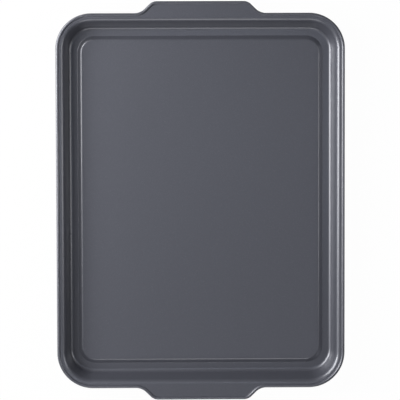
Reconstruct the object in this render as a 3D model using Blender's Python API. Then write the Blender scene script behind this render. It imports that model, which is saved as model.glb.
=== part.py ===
"""A rimmed cookie sheet with a handle at each end: one pressed steel sheet, curled over a rim wire.

Metres, +Z up, +Y along the pan's length. The origin is on the table, under the middle of the pan.
A section point is (inset, height): how far it lies inside the pan's outer edge, and how far above
the table. A direction in the section is an angle, 0 pointing outwards and 90 degrees up.
"""

import math
from itertools import pairwise

import bmesh
import bpy

MM = 0.001

# Outer sizes, over the rolled rim
PAN_WIDTH = 330 * MM
PAN_LENGTH = 430 * MM  # without the handles
PAN_HEIGHT = 25 * MM
CORNER_RADIUS = 41 * MM

# The handles, which are the flange drawn out at both short ends
HANDLE_REACH = 13.6 * MM  # past the rim of the short end
HANDLE_FLAT = 99.4 * MM  # the straight stretch of the handle's edge
HANDLE_TIP_RADIUS = 11 * MM
HANDLE_ROOT_RADIUS = 15 * MM
HANDLE_SLANT = math.radians(44)

# The sheet, and the wire in its rolled rim
SHEET = 0.7 * MM
WIRE_DIAMETER = 1.6 * MM
WIRE_CLEARANCE = 0.3 * MM
WIRE_BUTT_GAP = 0.6 * MM  # between the two ends of the wire
RIM_PROUD = 1.4 * MM  # top of the rolled rim above the flange
NECK_RADIUS = 0.4 * MM  # the hollow bend between the flange and the rolled rim
CURL_END = math.radians(-145)  # direction in which the curled edge stops
OUTWARDS = 0
UPWARDS = math.pi / 2

# The wall, the moat at its foot and the raised middle panel, measured between their sharp corners
SHOULDER_INSET = 9 * MM
WALL_RUN = 5.6 * MM  # how far the wall leans in on the long sides
END_WALL_EXTRA_RUN = 1.8 * MM  # and how much further at the short ends
MOAT_WIDTH = 9.9 * MM
PANEL_STEP_RUN = 4.1 * MM
PANEL_RISE = 2.8 * MM
PANEL_CORNER_RADIUS = 15 * MM

# Bends that round those corners off, each measured on its hollow side
SHOULDER_BEND = 5 * MM
WALL_FOOT_BEND = 4.5 * MM
STEP_FOOT_BEND = 1.2 * MM
PANEL_EDGE_BEND = 3.7 * MM

# The widest angle that one straight step of a round stretch takes
SECTION_STEP = math.radians(24)
PLAN_STEP = math.radians(12)

NONSTICK_GREY = (0.098, 0.1, 0.118)
STEEL_GREY = (0.45, 0.45, 0.46)

RIM_RADIUS = WIRE_DIAMETER / 2 + WIRE_CLEARANCE + SHEET
RIM_CENTRE = (RIM_RADIUS, PAN_HEIGHT - RIM_RADIUS)
FLANGE_HEIGHT = PAN_HEIGHT - RIM_PROUD
PANEL_HEIGHT = SHEET + PANEL_RISE

# Centre of the neck's bend, which touches both the flange and the rolled rim
NECK_REACH = RIM_RADIUS + NECK_RADIUS
NECK_CENTRE = (
    RIM_RADIUS + math.sqrt(NECK_REACH**2 - (NECK_REACH - RIM_PROUD) ** 2),
    FLANGE_HEIGHT + NECK_RADIUS,
)

# Corners of the upper face, from the outer edge in to the middle
OUTER_EDGE = (0, FLANGE_HEIGHT)
SHOULDER = (SHOULDER_INSET, FLANGE_HEIGHT)
WALL_FOOT = (SHOULDER_INSET + WALL_RUN, SHEET)
STEP_FOOT = (WALL_FOOT[0] + MOAT_WIDTH, SHEET)
PANEL_EDGE = (STEP_FOOT[0] + PANEL_STEP_RUN, PANEL_HEIGHT)
PANEL_MIDDLE = (PAN_WIDTH / 2, PANEL_HEIGHT)


def clear_scene():
    for obj in list(bpy.data.objects):
        bpy.data.objects.remove(obj)


def make_material(name, colour, metallic, roughness):
    material = bpy.data.materials.new(name)
    material.use_nodes = True
    shader = material.node_tree.nodes["Principled BSDF"]
    shader.inputs["Base Color"].default_value = (*colour, 1)
    shader.inputs["Metallic"].default_value = metallic
    shader.inputs["Roughness"].default_value = roughness
    material.diffuse_color = (*colour, 1)
    return material


def sweep(start, end, widest_step):
    """Even angles from start to end, both included."""
    steps = math.ceil(abs(end - start) / widest_step)
    return [start + (end - start) * step / steps for step in range(steps + 1)]


def section_arc(centre, radius, start, end):
    """Section points of a bend, from one direction to another. Outwards is towards a lower inset."""
    angles = sweep(start, end, SECTION_STEP)
    return [(centre[0] - radius * math.cos(a), centre[1] + radius * math.sin(a)) for a in angles]


def round_off(before, corner, after, radius):
    """Section points of the arc that rounds a corner, as large as its two straight runs allow."""
    into = math.atan2(corner[1] - before[1], before[0] - corner[0])
    out = math.atan2(after[1] - corner[1], corner[0] - after[0])
    turn = out - into
    room = min(math.dist(before, corner), math.dist(corner, after)) / 2
    back = min(radius * math.tan(abs(turn) / 2), room)
    # A bend to the right is crowned, and its centre lies under the sheet.
    crown = -math.copysign(back / math.tan(abs(turn) / 2), turn)
    start = into + UPWARDS
    touch = (corner[0] + back * math.cos(into), corner[1] - back * math.sin(into))
    centre = (touch[0] + crown * math.cos(start), touch[1] - crown * math.sin(start))
    return section_arc(centre, crown, start, out + UPWARDS)


def bottom_section():
    """The upper face from the edge of the middle panel out to the moat."""
    panel_edge = round_off(PANEL_MIDDLE, PANEL_EDGE, STEP_FOOT, PANEL_EDGE_BEND + SHEET)
    return panel_edge + round_off(PANEL_EDGE, STEP_FOOT, WALL_FOOT, STEP_FOOT_BEND)


def wall_section():
    """The upper face from the foot of the wall up to the flange."""
    foot = round_off(STEP_FOOT, WALL_FOOT, SHOULDER, WALL_FOOT_BEND)
    return foot + round_off(WALL_FOOT, SHOULDER, OUTER_EDGE, SHOULDER_BEND + SHEET)


def rim_section():
    """The upper face from the flange up round the wire to the curled edge."""
    meets = math.atan2(NECK_CENTRE[1] - RIM_CENTRE[1], RIM_CENTRE[0] - NECK_CENTRE[0])
    points = section_arc(NECK_CENTRE, -NECK_RADIUS, UPWARDS, meets)
    for start, end in pairwise([meets, UPWARDS, OUTWARDS, CURL_END]):
        points += section_arc(RIM_CENTRE, RIM_RADIUS, start, end)[1:]
    return points


def end_lean(height):
    """How much further in a point of the wall lies at the short ends than on the long sides."""
    return END_WALL_EXTRA_RUN * (FLANGE_HEIGHT - height) / (FLANGE_HEIGHT - SHEET)


def plan_arc(centre, radius, start, end):
    """Points of an arc seen from above, from one angle to another."""
    angles = sweep(start, end, PLAN_STEP)
    return [(centre[0] + radius * math.cos(a), centre[1] + radius * math.sin(a)) for a in angles]


def corner_arc(quarter, inset, lean=0, reach=CORNER_RADIUS):
    """One rounded corner. Quarter 0 is the back right one, and they count anticlockwise.

    The reach is how far the arc's centre lies inside the pan's outer edges.
    """
    side = 1 if quarter in (0, 3) else -1
    end = 1 if quarter in (0, 1) else -1
    centre = (side * (PAN_WIDTH / 2 - reach), end * (PAN_LENGTH / 2 - reach - lean))
    start = quarter * math.pi / 2
    return plan_arc(centre, reach - inset, start, start + math.pi / 2)


def handle_edge(inset, end):
    """The S-curved edge of a handle, anticlockwise. End is 1 at the back and -1 at the front."""
    bends = HANDLE_TIP_RADIUS + HANDLE_ROOT_RADIUS
    # The two bends alone would climb the handle's reach at this slant, with nothing straight between.
    steepest = math.acos(max(1 - HANDLE_REACH / bends, 0))
    slant = min(HANDLE_SLANT, steepest)
    slope = (HANDLE_REACH - bends * (1 - math.cos(slant))) / math.sin(slant)
    run = bends * math.sin(slant) + slope * math.cos(slant)
    tip = (HANDLE_FLAT / 2, PAN_LENGTH / 2 + HANDLE_REACH - HANDLE_TIP_RADIUS)
    root = (HANDLE_FLAT / 2 + run, PAN_LENGTH / 2 + HANDLE_ROOT_RADIUS)
    back = math.pi / 2
    right = plan_arc(root, -HANDLE_ROOT_RADIUS - inset, back, back - slant)
    right += plan_arc(tip, HANDLE_TIP_RADIUS - inset, back - slant, back)
    left = [(-x, y) for x, y in reversed(right)]
    return [(end * x, end * y) for x, y in right + left]


def body_outline(inset, lean):
    """The pan seen from above without its handles, moved in by an inset, anticlockwise."""
    return [point for quarter in range(4) for point in corner_arc(quarter, inset, lean)]


def panel_outline(inset):
    """The middle panel and its step seen from above, whose corners have a radius of their own."""
    reach = PANEL_EDGE[0] + PANEL_CORNER_RADIUS
    corners = [corner_arc(quarter, inset, END_WALL_EXTRA_RUN, reach) for quarter in range(4)]
    return [point for corner in corners for point in corner]


def rim_outline(inset):
    """The pan seen from above with its handles, moved in by an inset, anticlockwise."""
    back = corner_arc(0, inset) + handle_edge(inset, 1) + corner_arc(1, inset)
    front = corner_arc(2, inset) + handle_edge(inset, -1) + corner_arc(3, inset)
    return back + front


def add_loop(mesh, outline, height):
    return [mesh.verts.new((x, y, height)) for x, y in outline]


def add_bands(mesh, loops):
    """Quads between each loop and the next one out."""
    for inner, outer in pairwise(loops):
        for index in range(len(inner)):
            mesh.faces.new((inner[index - 1], outer[index - 1], outer[index], inner[index]))


def add_flange(mesh, body_loop, rim_loop):
    """The flat flange between the plain loop of the body and the rim's loop with its handles."""
    closed = [[*loop, loop[0]] for loop in (body_loop, rim_loop)]
    edges = [mesh.edges.get(pair) for loop in closed for pair in pairwise(loop)]
    bmesh.ops.triangle_fill(mesh, edges=edges, use_beauty=True, normal=(0, 0, 1))


def make_pan_shell():
    """The pressed sheet. Its upper face is drawn, and Solidify gives it its thickness below."""
    mesh = bmesh.new()
    body = [add_loop(mesh, panel_outline(i), h) for i, h in bottom_section()]
    body += [add_loop(mesh, body_outline(i, end_lean(h)), h) for i, h in wall_section()]
    rim = [add_loop(mesh, rim_outline(i), h) for i, h in rim_section()]
    mesh.faces.new(body[0])
    add_bands(mesh, body)
    add_bands(mesh, rim)
    add_flange(mesh, body[-1], rim[0])

    data = bpy.data.meshes.new("pan_shell")
    mesh.to_mesh(data)
    mesh.free()
    data.shade_smooth()
    data.materials.append(make_material("nonstick_coating", NONSTICK_GREY, 0.3, 0.4))
    shell = bpy.data.objects.new("pan_shell", data)
    bpy.context.collection.objects.link(shell)
    thickness = shell.modifiers.new("sheet", "SOLIDIFY")
    thickness.thickness = SHEET
    thickness.offset = -1
    thickness.use_even_offset = True


def make_rim_wire():
    """The wire in the rolled rim, a loop whose ends butt halfway along the right side."""
    side = PAN_WIDTH / 2 - RIM_RADIUS
    path = [(side, WIRE_BUTT_GAP / 2), *rim_outline(RIM_RADIUS), (side, -WIRE_BUTT_GAP / 2)]
    curve = bpy.data.curves.new("rim_wire", "CURVE")
    curve.dimensions = "3D"
    curve.bevel_depth = WIRE_DIAMETER / 2
    curve.bevel_resolution = 2
    curve.use_fill_caps = True
    spline = curve.splines.new("POLY")
    spline.points.add(len(path) - 1)
    for point, (x, y) in zip(spline.points, path, strict=True):
        point.co = (x, y, RIM_CENTRE[1], 1)
    curve.materials.append(make_material("wire_steel", STEEL_GREY, 1, 0.35))
    wire = bpy.data.objects.new("rim_wire", curve)
    bpy.context.collection.objects.link(wire)


clear_scene()
make_pan_shell()
make_rim_wire()
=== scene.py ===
# %% [markdown]
# # A non-stick cookie sheet
#
# A cookie sheet is one steel blank, pressed into a shallow tray, with its edge rolled over a wire. Both
# pieces are modelled here as by hand, with Blender's own operators. Then they get their finish, and are
# shown as in a shop picture: from almost straight above, on white.

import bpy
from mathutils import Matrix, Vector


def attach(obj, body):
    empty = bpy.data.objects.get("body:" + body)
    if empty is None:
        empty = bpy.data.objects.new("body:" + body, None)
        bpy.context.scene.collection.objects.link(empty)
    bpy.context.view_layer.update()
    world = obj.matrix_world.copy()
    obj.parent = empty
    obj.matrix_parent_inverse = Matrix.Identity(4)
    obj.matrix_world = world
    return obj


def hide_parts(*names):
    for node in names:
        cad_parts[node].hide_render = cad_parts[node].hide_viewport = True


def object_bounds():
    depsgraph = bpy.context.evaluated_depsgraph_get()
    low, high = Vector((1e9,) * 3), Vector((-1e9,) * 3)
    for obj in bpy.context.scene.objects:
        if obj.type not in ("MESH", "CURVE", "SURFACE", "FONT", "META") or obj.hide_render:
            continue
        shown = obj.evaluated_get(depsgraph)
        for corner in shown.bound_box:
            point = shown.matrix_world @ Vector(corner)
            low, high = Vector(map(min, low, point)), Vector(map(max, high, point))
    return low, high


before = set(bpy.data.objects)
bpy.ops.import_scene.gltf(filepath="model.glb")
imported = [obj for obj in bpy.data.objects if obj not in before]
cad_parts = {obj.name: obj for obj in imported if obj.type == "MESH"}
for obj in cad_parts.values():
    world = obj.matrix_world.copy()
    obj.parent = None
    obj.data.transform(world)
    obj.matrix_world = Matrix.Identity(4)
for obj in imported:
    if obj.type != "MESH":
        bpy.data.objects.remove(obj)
cad_low, cad_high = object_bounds()
print("the packed pieces:", sorted(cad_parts))

# %% The tools
import math

import bmesh
import bpy
from mathutils import Euler, Vector

# %% [markdown]
# ## Sizes
#
# The pan's width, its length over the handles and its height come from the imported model. What the model's
# box can't say is written here once: the corners, the handles, and the bends of the sheet. The section is
# thought of as a path that starts at the rim and walks inwards. Its slope is 0 where the sheet is flat and
# -90 where it would drop straight down: all slopes and turns of the section are in degrees.

# %% Outer sizes
MM = 0.001
PAN_WIDTH = cad_high.x - cad_low.x
HANDLE_REACH = 13.6 * MM
PAN_LENGTH = cad_high.y - cad_low.y - 2 * HANDLE_REACH
PAN_HEIGHT = cad_high.z
CORNER_RADIUS = 41 * MM
print(f"pan {PAN_WIDTH / MM:.1f} x {PAN_LENGTH / MM:.1f} x {PAN_HEIGHT / MM:.1f} mm without its handles")

# %% Sizes of the handles
HANDLE_FLAT = 99.4 * MM
HANDLE_SLANT = math.radians(44)
HANDLE_TIP_RADIUS = 11 * MM
HANDLE_ROOT_RADIUS = 15 * MM

# %% Sizes of the rolled rim
SHEET = 0.7 * MM
WIRE_DIAMETER = 1.6 * MM
WIRE_CLEARANCE = 0.3 * MM
WIRE_BUTT_GAP = 0.6 * MM
RIM_RADIUS = WIRE_DIAMETER / 2 + WIRE_CLEARANCE + SHEET
RIM_PROUD = 1.4 * MM
NECK_RADIUS = 0.4 * MM
CURL_TURN = 145
FLANGE_HEIGHT = PAN_HEIGHT - RIM_PROUD
RIM_CENTRE_HEIGHT = PAN_HEIGHT - RIM_RADIUS

# %% Sizes of the wall, the moat and the panel
SHOULDER_INSET = 9 * MM
WALL_RUN = 5.6 * MM
END_WALL_EXTRA_RUN = 1.8 * MM
MOAT_WIDTH = 9.9 * MM
PANEL_STEP_RUN = 4.1 * MM
PANEL_RISE = 2.8 * MM
PANEL_CORNER_RADIUS = 15 * MM
SHOULDER_RADIUS = 5.7 * MM
WALL_FOOT_RADIUS = 4.5 * MM
STEP_FOOT_RADIUS = 1.2 * MM
PANEL_EDGE_RADIUS = 4.4 * MM

# %% [markdown]
# ## Working in edit mode
#
# Every piece starts as a plane. An operator acts on all that is selected, so a new piece begins with
# nothing selected, and later steps choose vertices or edges by where they are. The test is a small
# function, which reads like the sentence that a person would say while clicking.

# %% Tolerances
WELD_DISTANCE = 0.001 * MM
RING_TOLERANCE = 0.01 * MM
SMOOTH_ANGLE = math.radians(40)


# %% Starting a piece
def start_piece(name, width, length, height):
    """A plane of that size at that height, left in edit mode with its face selected."""
    bpy.ops.object.select_all(action="DESELECT")
    bpy.ops.mesh.primitive_plane_add(size=1, enter_editmode=True)
    bpy.ops.transform.resize(value=(width, length, 1))
    bpy.ops.transform.translate(value=(0, 0, height))
    piece = bpy.context.object
    piece.name = piece.data.name = name
    return piece


# %% Choosing vertices, edges and faces
def choose(piece, kind, wanted):
    """Selects the vertices, edges or faces that pass the test, and nothing else."""
    bpy.ops.mesh.select_all(action="DESELECT")
    bpy.ops.mesh.select_mode(type=kind)
    mesh = bmesh.from_edit_mesh(piece.data)
    for element in {"VERT": mesh.verts, "EDGE": mesh.edges, "FACE": mesh.faces}[kind]:
        if wanted(element):
            element.select_set(True)
    bmesh.update_edit_mesh(piece.data)


# %% [markdown]
# ## The outline
#
# Seen from above the pan is a rectangle with round corners, and each short end reaches out in the middle
# as a handle. The plane's two short edges are cut into five. The inner two of the new points are pulled
# out as the handle's tips, and the outer two stay on the edge as its roots. Vertex bevels then round the
# twelve corners. For a circle of radius R the bevel starts at R times the tangent of half the turn.

# %% How finely the corners are rounded
PAN_CORNER_SEGMENTS = 28
HANDLE_TIP_SEGMENTS = 8
HANDLE_ROOT_SEGMENTS = 10


# %% Rounding corners
def round_corners(piece, wanted, radius, turn, segments):
    """Rounds the vertices that pass the test, where the outline turns by that angle."""
    choose(piece, "VERT", wanted)
    bpy.ops.mesh.bevel(offset=radius * math.tan(turn / 2), segments=segments, affect="VERTICES")


def round_plane_corners(piece, width, length, radius):
    """Rounds the four corners of a plane of that size."""
    far = math.hypot(width, length) / 2 - MM
    round_corners(piece, lambda v: v.co.xy.length > far, radius, math.pi / 2, PAN_CORNER_SEGMENTS)


# %% Pulling out the handles
SLOPE_RUN = HANDLE_REACH / math.tan(HANDLE_SLANT)
TIP_X = HANDLE_FLAT / 2 + HANDLE_TIP_RADIUS * math.tan(HANDLE_SLANT / 2)
ROOT_X = TIP_X + SLOPE_RUN
TIP_Y = PAN_LENGTH / 2 + HANDLE_REACH


def pull_out_handles(piece):
    """Cuts both short edges in five and moves the new points to the handles' tips and roots."""
    choose(piece, "EDGE", lambda edge: abs(edge.verts[0].co.y - edge.verts[1].co.y) < MM)
    bpy.ops.mesh.subdivide(number_cuts=4)
    bpy.ops.mesh.select_all(action="SELECT")
    bpy.ops.mesh.dissolve_faces()
    fifth = PAN_WIDTH / 5
    choose(piece, "VERT", lambda v: abs(v.co.x) < fifth)
    bpy.ops.transform.resize(value=(TIP_X / (fifth / 2), TIP_Y / (PAN_LENGTH / 2), 1))
    choose(piece, "VERT", lambda v: abs(abs(v.co.x) - 1.5 * fifth) < MM)
    bpy.ops.transform.resize(value=(ROOT_X / (1.5 * fifth), 1, 1))


def is_tip(vertex):
    return abs(vertex.co.y) > PAN_LENGTH / 2 + MM and abs(vertex.co.x) > TIP_X - MM


def is_root(vertex):
    return abs(abs(vertex.co.x) - ROOT_X) < MM


def round_handle_corners(piece):
    round_corners(piece, is_tip, HANDLE_TIP_RADIUS, HANDLE_SLANT, HANDLE_TIP_SEGMENTS)
    round_corners(piece, is_root, HANDLE_ROOT_RADIUS, HANDLE_SLANT, HANDLE_ROOT_SEGMENTS)


# %% The whole outline
def start_outline(name, height):
    """The pan's outline with its handles, as one face at that height, left in edit mode."""
    piece = start_piece(name, PAN_WIDTH, PAN_LENGTH, height)
    pull_out_handles(piece)
    round_handle_corners(piece)
    round_plane_corners(piece, PAN_WIDTH, PAN_LENGTH, CORNER_RADIUS)
    bpy.ops.mesh.select_all(action="SELECT")
    print(f"{name}: outline of {len(bmesh.from_edit_mesh(piece.data).verts)} points")
    return piece


# %% [markdown]
# ## Pressing the sheet
#
# A press draws a blank down ring by ring. Inset does the same to a face: its thickness takes the edge
# inwards, evenly all round, and its depth takes it up or down. So the section is a list of such steps. A
# bend is a run of short ones whose slope changes evenly, and each lies along a chord of the bend.

# %% Steps of a section
BEND_STEP = 8


def straight(length, slope=0):
    """One step of the section, as how far inwards and how far up. The slope is in degrees."""
    return [(length * math.cos(math.radians(slope)), length * math.sin(math.radians(slope)))]


def bend(radius, first_slope, last_slope):
    """The short steps of a bend, from one slope to another."""
    count = math.ceil(abs(last_slope - first_slope) / BEND_STEP)
    turn = (last_slope - first_slope) / count
    chord = 2 * radius * math.sin(math.radians(abs(turn)) / 2)
    return [step for i in range(count) for step in straight(chord, first_slope + turn * (i + 0.5))]


def press(steps):
    """Draws the selected face in along those steps. Up is the way that the face looks."""
    for inwards, up in steps:
        bpy.ops.mesh.inset(thickness=inwards, depth=up)


# %% [markdown]
# ## The rolled rim
#
# The sheet's edge is rolled out and down round the wire, and its end tucks back under the flange. The
# outline is drawn at the height of the wire, where the roll is widest. One copy of the face is pressed
# upwards, over the top of the roll and down a small hollow neck to the flange. The other looks down and
# is pressed round the underside. Each leaves its middle open. A narrow flat margin beside a bend keeps the
# bend's soft shading off the flat next to it.

# %% The slope at which the roll runs into its neck, and the flat margin
NECK_SLOPE = math.degrees(math.acos(1 - RIM_PROUD / (RIM_RADIUS + NECK_RADIUS)))
FLAT_MARGIN = 0.2 * MM
UPRIGHT = 90
print(f"the roll runs into its neck at {NECK_SLOPE:.0f} degrees")


# %% Rolling the rim
def make_rim():
    rim = start_outline("rolled_rim", RIM_CENTRE_HEIGHT)
    bpy.ops.mesh.duplicate()
    bpy.ops.mesh.flip_normals()
    press(bend(RIM_RADIUS, UPRIGHT, UPRIGHT - CURL_TURN))
    bpy.ops.mesh.delete(type="FACE")
    choose(rim, "FACE", lambda face: len(face.verts) > 4)
    press(bend(RIM_RADIUS, UPRIGHT, -NECK_SLOPE) + bend(NECK_RADIUS, -NECK_SLOPE, 0))
    press(straight(FLAT_MARGIN))
    bpy.ops.mesh.delete(type="FACE")
    bpy.ops.mesh.select_all(action="SELECT")
    bpy.ops.mesh.remove_doubles(threshold=WELD_DISTANCE)
    bpy.ops.object.mode_set(mode="OBJECT")
    print(f"{rim.name}: {len(rim.data.polygons)} faces")
    return rim


rim = make_rim()

# %% [markdown]
# ## The tray
#
# From the flange the sheet turns over a round shoulder, drops down a steep wall and comes out of a hollow
# foot into the moat, the flat band on which the pan stands. The walls of the short ends lean in a little
# more than the long ones, so each ring of the wall is also squeezed a hair along the pan.

# %% Slopes and straight lengths between the bends
WALL_SLOPE = math.degrees(math.atan2(FLANGE_HEIGHT - SHEET, WALL_RUN))
STEP_SLOPE = math.degrees(math.atan2(PANEL_RISE, PANEL_STEP_RUN))


def tangent(radius, turn):
    """How far before its sharp corner a bend starts. The turn is in degrees."""
    return radius * math.tan(math.radians(turn) / 2)


SHOULDER_START = SHOULDER_INSET - tangent(SHOULDER_RADIUS, WALL_SLOPE)
WALL_LENGTH = (
    math.hypot(FLANGE_HEIGHT - SHEET, WALL_RUN)
    - tangent(SHOULDER_RADIUS, WALL_SLOPE)
    - tangent(WALL_FOOT_RADIUS, WALL_SLOPE)
)
STEP_LENGTH = (
    math.hypot(PANEL_RISE, PANEL_STEP_RUN)
    - tangent(STEP_FOOT_RADIUS, STEP_SLOPE)
    - tangent(PANEL_EDGE_RADIUS, STEP_SLOPE)
)
print(f"the wall slopes by {WALL_SLOPE:.1f} degrees and the panel's step by {STEP_SLOPE:.1f}")


# %% Squeezing the wall at the short ends
def press_wall(steps):
    """Presses the wall, and takes the short ends in further as it goes down."""
    drop = FLANGE_HEIGHT - SHEET
    half_length = PAN_LENGTH / 2 - SHOULDER_INSET
    for inwards, up in steps:
        press([(inwards, up)])
        squeeze = END_WALL_EXTRA_RUN * -up / drop
        bpy.ops.transform.resize(value=(1, 1 - squeeze / half_length, 1))


# %% Pressing the tray
def make_tray():
    first_inset = SHOULDER_START - FLAT_MARGIN
    width, length = PAN_WIDTH - 2 * first_inset, PAN_LENGTH - 2 * first_inset
    tray = start_piece("tray", width, length, FLANGE_HEIGHT)
    round_plane_corners(tray, width, length, CORNER_RADIUS - first_inset)
    bpy.ops.mesh.select_all(action="SELECT")
    press(straight(FLAT_MARGIN))
    press_wall(bend(SHOULDER_RADIUS, 0, -WALL_SLOPE))
    press_wall(straight(FLAT_MARGIN, -WALL_SLOPE))
    press_wall(straight(WALL_LENGTH - 2 * FLAT_MARGIN, -WALL_SLOPE))
    press_wall(straight(FLAT_MARGIN, -WALL_SLOPE))
    press_wall(bend(WALL_FOOT_RADIUS, -WALL_SLOPE, 0))
    press(straight(FLAT_MARGIN))
    bpy.ops.mesh.delete(type="FACE")
    bpy.ops.object.mode_set(mode="OBJECT")
    print(f"{tray.name}: {len(tray.data.polygons)} faces")
    return tray


tray = make_tray()

# %% [markdown]
# ## The middle panel
#
# A flat bottom would buckle in the oven, so the middle is raised by a soft step, which stiffens it. Its
# corners are rounder than the moat's, so it starts as a plane of its own, at the height of the moat.


# %% Pressing the panel
def make_panel():
    first_inset = SHOULDER_INSET + WALL_RUN + MOAT_WIDTH
    first_inset -= tangent(STEP_FOOT_RADIUS, STEP_SLOPE) + FLAT_MARGIN
    width = PAN_WIDTH - 2 * first_inset
    length = PAN_LENGTH - 2 * (first_inset + END_WALL_EXTRA_RUN)
    panel_edge = SHOULDER_INSET + WALL_RUN + MOAT_WIDTH + PANEL_STEP_RUN
    panel = start_piece("middle_panel", width, length, SHEET)
    round_plane_corners(panel, width, length, PANEL_CORNER_RADIUS + panel_edge - first_inset)
    bpy.ops.mesh.select_all(action="SELECT")
    press(straight(FLAT_MARGIN) + bend(STEP_FOOT_RADIUS, 0, STEP_SLOPE))
    press(straight(STEP_LENGTH, STEP_SLOPE) + bend(PANEL_EDGE_RADIUS, STEP_SLOPE, 0))
    press(straight(FLAT_MARGIN))
    bpy.ops.object.mode_set(mode="OBJECT")
    print(f"{panel.name}: {len(panel.data.polygons)} faces")
    return panel


panel = make_panel()

# %% [markdown]
# ## Joining the three
#
# Rim and tray meet in two rings at the height of the flange, one with handles and one without. Tray and
# panel meet in two rings at the height of the moat. A fill between each pair is the flange and the moat.
# This is still a skin without thickness. Solidify gives it the sheet's gauge, all of it below the skin, so
# that the outer sizes stay what they are.


# %% Filling the flange and the moat
def fill_between_rings(piece, height):
    """Closes the gap between the two open rings at that height."""

    def is_ring(edge):
        return edge.is_boundary and all(abs(v.co.z - height) < RING_TOLERANCE for v in edge.verts)

    choose(piece, "EDGE", is_ring)
    bpy.ops.mesh.fill()


def join_pan(parts):
    bpy.ops.object.select_all(action="DESELECT")
    for part in parts:
        part.select_set(True)
    bpy.context.view_layer.objects.active = parts[0]
    bpy.ops.object.join()
    pan = bpy.context.object
    pan.name = pan.data.name = "pressed_pan"
    bpy.ops.object.mode_set(mode="EDIT")
    fill_between_rings(pan, FLANGE_HEIGHT)
    fill_between_rings(pan, SHEET)
    bpy.ops.mesh.select_all(action="SELECT")
    bpy.ops.mesh.normals_make_consistent(inside=False)
    bpy.ops.object.mode_set(mode="OBJECT")
    flattest = min(face.normal.z for face in pan.data.polygons if face.center.z < 2 * SHEET)
    print(f"{pan.name}: {len(pan.data.polygons)} faces, and the moat's look up by {flattest:.2f} or more")
    return pan


pan = join_pan([rim, tray, panel])


# %% Giving the sheet its gauge
def thicken(piece, thickness):
    bpy.ops.object.modifier_add(type="SOLIDIFY")
    sheet = piece.modifiers[-1]
    sheet.thickness = thickness
    sheet.offset = -1
    sheet.use_even_offset = True
    bpy.ops.object.modifier_apply(modifier=sheet.name)


thicken(pan, SHEET)
bpy.ops.object.shade_smooth_by_angle(angle=SMOOTH_ANGLE)
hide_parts("pan_shell")
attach(pan, "root")
print(f"{pan.name}: {len(pan.data.polygons)} faces, {pan.dimensions.z / MM:.1f} mm high")

# %% [markdown]
# ## The rim wire
#
# The roll hides a round steel wire. It shows only from below, in the slot between the curl and the flange.
# Its path is the same outline, drawn in by the radius of the roll. A real wire is cut to length and its
# ends meet, so the long right edge of the path is opened by a small gap. The path becomes a curve, which
# gets its thickness from a bevel.

# %% How round the wire is, and how much longer than the gap an edge may measure
WIRE_BEVEL_RESOLUTION = 5
ROUNDING_ROOM = 1.01


# %% The path of the wire
def make_wire_path():
    path = start_outline("drawn_wire", RIM_CENTRE_HEIGHT)
    press(straight(RIM_RADIUS))
    bpy.ops.mesh.select_mode(type="FACE")
    bpy.ops.mesh.select_all(action="INVERT")
    bpy.ops.mesh.delete(type="FACE")
    bpy.ops.mesh.select_all(action="SELECT")
    bpy.ops.mesh.delete(type="ONLY_FACE")
    side = PAN_WIDTH / 2 - RIM_RADIUS

    def is_right_side(edge):
        """The long straight edge at the right, and none of the short ones at its ends."""
        return min(v.co.x for v in edge.verts) > side - MM and edge.calc_length() > side

    choose(path, "EDGE", is_right_side)
    bpy.ops.mesh.subdivide(number_cuts=2)
    third = (PAN_LENGTH - 2 * CORNER_RADIUS) / 3
    choose(path, "VERT", lambda v: v.co.x > side - MM and abs(v.co.y) < third)
    bpy.ops.transform.resize(value=(1, WIRE_BUTT_GAP / third, 1))
    choose(path, "EDGE", lambda edge: edge.calc_length() < WIRE_BUTT_GAP * ROUNDING_ROOM)
    bpy.ops.mesh.delete(type="EDGE")
    bpy.ops.object.mode_set(mode="OBJECT")
    return path


wire = make_wire_path()


# %% Giving the wire its thickness
def round_wire(wire):
    bpy.ops.object.convert(target="CURVE")
    wire.data.bevel_depth = WIRE_DIAMETER / 2
    wire.data.bevel_resolution = WIRE_BEVEL_RESOLUTION
    wire.data.use_fill_caps = True
    bpy.ops.object.convert(target="MESH")
    bpy.ops.object.mode_set(mode="EDIT")
    bpy.ops.mesh.select_all(action="SELECT")
    bpy.ops.mesh.remove_doubles(threshold=WELD_DISTANCE)
    bpy.ops.mesh.normals_make_consistent(inside=False)
    bpy.ops.object.mode_set(mode="OBJECT")
    bpy.ops.object.shade_smooth_by_angle(angle=SMOOTH_ANGLE)


round_wire(wire)
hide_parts("rim_wire")
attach(wire, "root")
print(f"{wire.name}: {len(wire.data.polygons)} faces, {wire.dimensions.z / MM:.1f} mm thick")

# %% [markdown]
# ## Shader maths
#
# A material's pattern is a sum of simpler ones. To write it as one, a small class wraps a node's socket
# and turns plus, times and abs into Math nodes. Every other node comes from one method, which takes the
# node's type, its settings and the values or links of its sockets.


# %% A socket that can be calculated with
class Socket:
    """A node's output, which Python's operators can work on."""

    def __init__(self, tree, socket):
        self.tree = tree
        self.socket = socket

    @classmethod
    def node(cls, tree, kind, settings=None, output=0, **inputs):
        """Adds a node. Inputs are named by their sockets, with _ for a space, or a0, a1 for the first two."""
        made = tree.nodes.new(kind)
        for name, value in (settings or {}).items():
            setattr(made, name, value)
        for name, value in inputs.items():
            is_place = name[0] == "a" and name[1:].isdigit()
            into = made.inputs[int(name[1:]) if is_place else name.replace("_", " ")]
            if isinstance(value, Socket):
                value.feed(into)
            else:
                into.default_value = value
        return cls(tree, made.outputs[output])

    def feed(self, into):
        """Links the socket into a node's input."""
        self.tree.links.new(self.socket, into)

    def math(self, operation, first, second):
        return Socket.node(self.tree, "ShaderNodeMath", {"operation": operation}, a0=first, a1=second)

    def __add__(self, other):
        return self.math("ADD", self, other)

    def __mul__(self, other):
        return self.math("MULTIPLY", self, other)

    def __abs__(self):
        return self.math("ABSOLUTE", self, 0)

    __radd__ = __add__
    __rmul__ = __mul__


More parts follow.
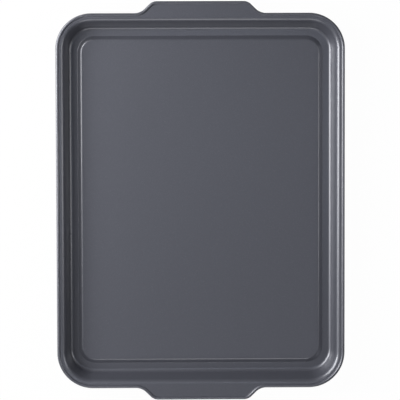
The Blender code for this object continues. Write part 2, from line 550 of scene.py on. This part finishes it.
# %% Starting a material and mixing in it
def start_material(name):
    """A new material with its tree of nodes and the inputs of its shader."""
    material = bpy.data.materials.new(name)
    material.use_nodes = True
    tree = material.node_tree
    return material, tree, tree.nodes["Principled BSDF"].inputs


def mix_colours(tree, share, first, second):
    """A colour between two, by the second one's share."""
    colours = {"a6": (*first, 1), "a7": (*second, 1)}
    return Socket.node(tree, "ShaderNodeMix", {"data_type": "RGBA"}, output=2, a0=share, **colours)


def between(share, first, second):
    """A number between two, by the second one's share."""
    return first + (second - first) * share


def fade_in(tree, value, start, end):
    """A socket that passes softly from 0 to 1 while the value passes from start to end."""
    smooth = {"interpolation_type": "SMOOTHSTEP"}
    return Socket.node(tree, "ShaderNodeMapRange", smooth, a0=value, a1=start, a2=end)


def dress(piece, material):
    """Gives a piece that material and no other."""
    piece.data.materials.clear()
    piece.data.materials.append(material)


# %% [markdown]
# ## Where the sheet is dull
#
# Washing and scouring dull the flats first, the panel and the flange. The bends, which the press has
# ironed, stay glossy, and so does the moat, which lies too deep for the scourer. A glossy panel would also
# mirror the softboxes as plain white when it is seen from the side. So the material has to know where it
# is. The surface's own direction tells a flat, which looks straight up or down, and its height tells the
# moat. The slopes below are in degrees.

# %% A mask for the dull flats
FLAT_SLOPE = 3
BEND_SLOPE = 12
MOAT_TOP = SHEET + 0.3 * PANEL_RISE
PANEL_BOTTOM = 0.8 * PANEL_RISE


def find_dull(tree, place):
    """A socket that is 1 on the dull flats, 0 on the moat and the bends, and passes softly between."""
    normal = Socket.node(tree, "ShaderNodeTexCoord", output="Normal")
    upward = Socket.node(tree, "ShaderNodeSeparateXYZ", output="Z", a0=normal)
    bent, level = (math.cos(math.radians(slope)) for slope in (BEND_SLOPE, FLAT_SLOPE))
    flat = fade_in(tree, abs(upward), bent, level)
    height = Socket.node(tree, "ShaderNodeSeparateXYZ", output="Z", a0=place)
    return flat * fade_in(tree, height, MOAT_TOP, PANEL_BOTTOM)


# %% [markdown]
# ## The non-stick coating
#
# The coating is sprayed on and baked. It is dark grey with a blue cast, and fine metal flakes give it a
# soft sheen. It never lies quite flat: a shallow waviness, the orange peel, breaks up its highlights. The
# flakes are small cells, each with its own luck, and only the luckiest are bright. The peel is fine noise.
# Much larger clouds of noise vary the roughness a little. Where the sheet is dull the coat is rougher and
# its clear top is thin, so the metal tells more.

# %% Mixing the coating
COATING = (0.107, 0.111, 0.1355)
FLAKE = (0.148, 0.153, 0.187)
FLAKE_SHARE = 0.16
FLAKE_SIZE = 0.35 * MM
PEEL_SIZE = 2.2 * MM
PEEL_HEIGHT = 0.001 * MM
CLOUD_SCALE = 18.0
GLOSSY_ROUGHNESS, DULL_ROUGHNESS = 0.365, 0.52
CLOUD_ROUGHNESS, FLAKE_ROUGHNESS = 0.03, 0.04
GLOSSY_METAL, DULL_METAL = 0.4, 0.61
GLOSSY_COAT, DULL_COAT = 0.85, 0.08
COAT_ROUGHNESS = 0.22
COATING_IOR = 1.82


def make_coating():
    material, tree, shader = start_material("nonstick_coating")
    place = Socket.node(tree, "ShaderNodeTexCoord", output="Object")
    cells = Socket.node(tree, "ShaderNodeTexVoronoi", output="Color", Vector=place, Scale=1 / FLAKE_SIZE)
    luck = Socket.node(tree, "ShaderNodeSeparateColor", a0=cells)
    clouds = Socket.node(tree, "ShaderNodeTexNoise", Vector=place, Scale=CLOUD_SCALE, Detail=3.0)
    flake = fade_in(tree, luck, 1 - FLAKE_SHARE, 1.0)
    mix_colours(tree, flake, COATING, FLAKE).feed(shader["Base Color"])
    dull = find_dull(tree, place)
    roughness = between(dull, GLOSSY_ROUGHNESS, DULL_ROUGHNESS)
    (roughness + CLOUD_ROUGHNESS * clouds + FLAKE_ROUGHNESS * luck).feed(shader["Roughness"])
    between(dull, GLOSSY_METAL, DULL_METAL).feed(shader["Metallic"])
    between(dull, GLOSSY_COAT, DULL_COAT).feed(shader["Coat Weight"])
    shader["IOR"].default_value = COATING_IOR
    shader["Coat Roughness"].default_value = COAT_ROUGHNESS
    peel = Socket.node(tree, "ShaderNodeTexNoise", Vector=place, Scale=1 / PEEL_SIZE, Detail=2.0)
    skin = Socket.node(tree, "ShaderNodeBump", Strength=1.0, Distance=PEEL_HEIGHT, Height=peel)
    skin.feed(shader["Normal"])
    return material


dress(pan, make_coating())

# %% [markdown]
# ## Bare drawn steel
#
# Steel wire is pulled through a die, which leaves fine scratches along it. They are far finer than the eye
# can part, so they show only as a soft sheen that varies a little in strength.

# %% Drawing the wire
STEEL = (0.45, 0.45, 0.46)
DULL_STEEL = (0.32, 0.31, 0.3)
STEEL_ROUGHNESS = 0.28
GRIME_ROUGHNESS = 0.2
GRIME_SCALE = 400.0


def make_steel():
    material, tree, shader = start_material("drawn_steel")
    place = Socket.node(tree, "ShaderNodeTexCoord", output="Object")
    grime = Socket.node(tree, "ShaderNodeTexNoise", Vector=place, Scale=GRIME_SCALE, Detail=4.0)
    mix_colours(tree, grime, STEEL, DULL_STEEL).feed(shader["Base Color"])
    (STEEL_ROUGHNESS + GRIME_ROUGHNESS * grime).feed(shader["Roughness"])
    shader["Metallic"].default_value = 1.0
    return material


dress(wire, make_steel())

# %% [markdown]
# ## The white floor
#
# A shop picture shows nothing round the pan but white, and only a breath of shadow. The floor is white
# paint. Where the camera looks straight at it most of its light is its own glow, and what is left of the
# paint keeps a faint shadow of the pan. In the pan's reflections the floor glows less, as it would where
# the lamps don't reach it.


# %% Telling rays apart
def find_rays(tree):
    """Two sockets: 1 on rays from the camera, and 1 on rays that a gloss or a glass has sent on."""
    seen = Socket.node(tree, "ShaderNodeLightPath", output="Is Camera Ray")
    glossy = Socket.node(tree, "ShaderNodeLightPath", output="Is Glossy Ray")
    passed = Socket.node(tree, "ShaderNodeLightPath", output="Is Transmission Ray")
    return seen, glossy + passed


# %% Laying the floor
FLOOR_SIZE = 12.0
FLOOR_DROP = 0.05 * MM
FLOOR_PAINT = (0.8, 0.8, 0.8, 1)
FLOOR_ROUGHNESS = 0.9
FLOOR_GLOW = 0.98
FLOOR_MIRRORED = 0.3


def make_floor():
    bpy.ops.object.select_all(action="DESELECT")
    bpy.ops.mesh.primitive_plane_add(size=FLOOR_SIZE, location=(0, 0, cad_low.z - FLOOR_DROP))
    floor = bpy.context.object
    floor.name = floor.data.name = "floor"
    material, tree, shader = start_material("white_floor")
    shader["Base Color"].default_value = FLOOR_PAINT
    shader["Roughness"].default_value = FLOOR_ROUGHNESS
    seen, mirrored = find_rays(tree)
    paint = Socket(tree, tree.nodes["Principled BSDF"].outputs[0])
    glow = Socket.node(tree, "ShaderNodeEmission", Color=(1, 1, 1, 1), Strength=1.0)
    share = FLOOR_GLOW * seen + FLOOR_MIRRORED * mirrored
    mixed = Socket.node(tree, "ShaderNodeMixShader", a0=share, a1=paint, a2=glow)
    mixed.feed(tree.nodes["Material Output"].inputs["Surface"])
    dress(floor, material)


make_floor()

# %% [markdown]
# ## The camera
#
# The pan is seen from three metres above with a long lens, so its depth hardly shows. The camera stands a
# little towards the far handle and to the left. That shows more of the near wall than of the far one, and
# makes the far end a hair wider. It is set back from the point that it looks at, along its own axis.

# %% Setting up the camera
CAMERA_LEAN = math.radians(4.4)
CAMERA_SIDE = math.radians(-0.9)
CAMERA_ROLL = math.radians(-0.15)
CAMERA_DISTANCE = 3.1
CAMERA_AIM = Vector((-0.74 * MM, 1.52 * MM, RIM_CENTRE_HEIGHT))
FIELD_WIDTH = 457.6 * MM
SENSOR_WIDTH = 36.0


def make_camera():
    lens = bpy.data.cameras.new("camera")
    lens.sensor_width = SENSOR_WIDTH
    lens.lens = SENSOR_WIDTH * CAMERA_DISTANCE / FIELD_WIDTH
    camera = bpy.data.objects.new("camera", lens)
    turn = Euler((-CAMERA_LEAN, CAMERA_SIDE, CAMERA_ROLL))
    camera.rotation_euler = turn
    camera.location = CAMERA_AIM + turn.to_matrix() @ Vector((0, 0, CAMERA_DISTANCE))
    bpy.context.scene.collection.objects.link(camera)
    bpy.context.scene.camera = camera
    print(f"the camera is at {camera.location.x:.2f}, {camera.location.y:.2f}, {camera.location.z:.2f} m")


make_camera()

# %% [markdown]
# ## The light
#
# The picture has one broad bright side. A large softbox stands at the left, turned a little towards the far
# end, with a smaller one on each side of it, and every bend of the sheet that looks that way carries its
# bright line. Tall weak lamps at the right and over the near end open the dark bends. Two very weak ones
# overhead, a little bluer than the rest, give the flat panel and the far handle their sheen. Each lamp is
# placed by its compass direction and its height above the horizon, as seen from the middle of the pan, and
# looks back at it.

# %% Hanging the lamps
LAMP_DISTANCE = 1.2
SKY = (0.9, 1.0, 1.2)


def hang_lamp(name, azimuth, elevation, width, height, power, colour=(1, 1, 1)):
    """A soft lamp. Azimuth 0 is the right side and 90 the far end. Sizes are in metres, power in watts."""
    data = bpy.data.lights.new(name, "AREA")
    data.shape = "RECTANGLE"
    data.color = colour
    data.size = width
    data.size_y = height
    data.energy = power
    lamp = bpy.data.objects.new(name, data)
    turn = Euler((0, math.radians(90 - elevation), math.radians(azimuth)))
    lamp.location = turn.to_matrix() @ Vector((0, 0, LAMP_DISTANCE))
    lamp.rotation_euler = lamp.location.to_track_quat("Z", "Y").to_euler()
    bpy.context.scene.collection.objects.link(lamp)


# In each line come the azimuth, the elevation, the width, the height and the power.
hang_lamp("large_softbox", 160, 38, 0.7, 0.9, 12.2)
hang_lamp("left_softbox", 180, 30, 0.4, 0.5, 5.2)
hang_lamp("far_left_softbox", 135, 30, 0.4, 0.6, 2.9)
hang_lamp("right_lamp", 0, 42, 0.4, 0.7, 2.4)
hang_lamp("near_lamp", 270, 40, 0.5, 0.6, 2.1)
hang_lamp("overhead_lamp", 0, 86, 0.2, 0.2, 0.23, SKY)
hang_lamp("far_overhead_lamp", 90, 80, 0.3, 0.3, 0.07, SKY)

# %% [markdown]
# ## The white room
#
# The room is white to the eye only. A path that comes from the camera or from a mirror meets a brighter
# white than one that lights the pan, so the picture has a white ground and the pan keeps its contrast.

# %% Painting the room
ROOM_LIGHT = 0.02
ROOM_MIRRORED = 0.04


def make_room():
    world = bpy.data.worlds.new("white_room")
    bpy.context.scene.world = world
    world.use_nodes = True
    background = world.node_tree.nodes["Background"].inputs
    background["Color"].default_value = (1, 1, 1, 1)
    seen, mirrored = find_rays(world.node_tree)
    strength = ROOM_LIGHT + (1 - ROOM_LIGHT) * seen + (ROOM_MIRRORED - ROOM_LIGHT) * mirrored
    strength.feed(background["Strength"])


make_room()
bpy.context.scene.view_settings.view_transform = "Standard"
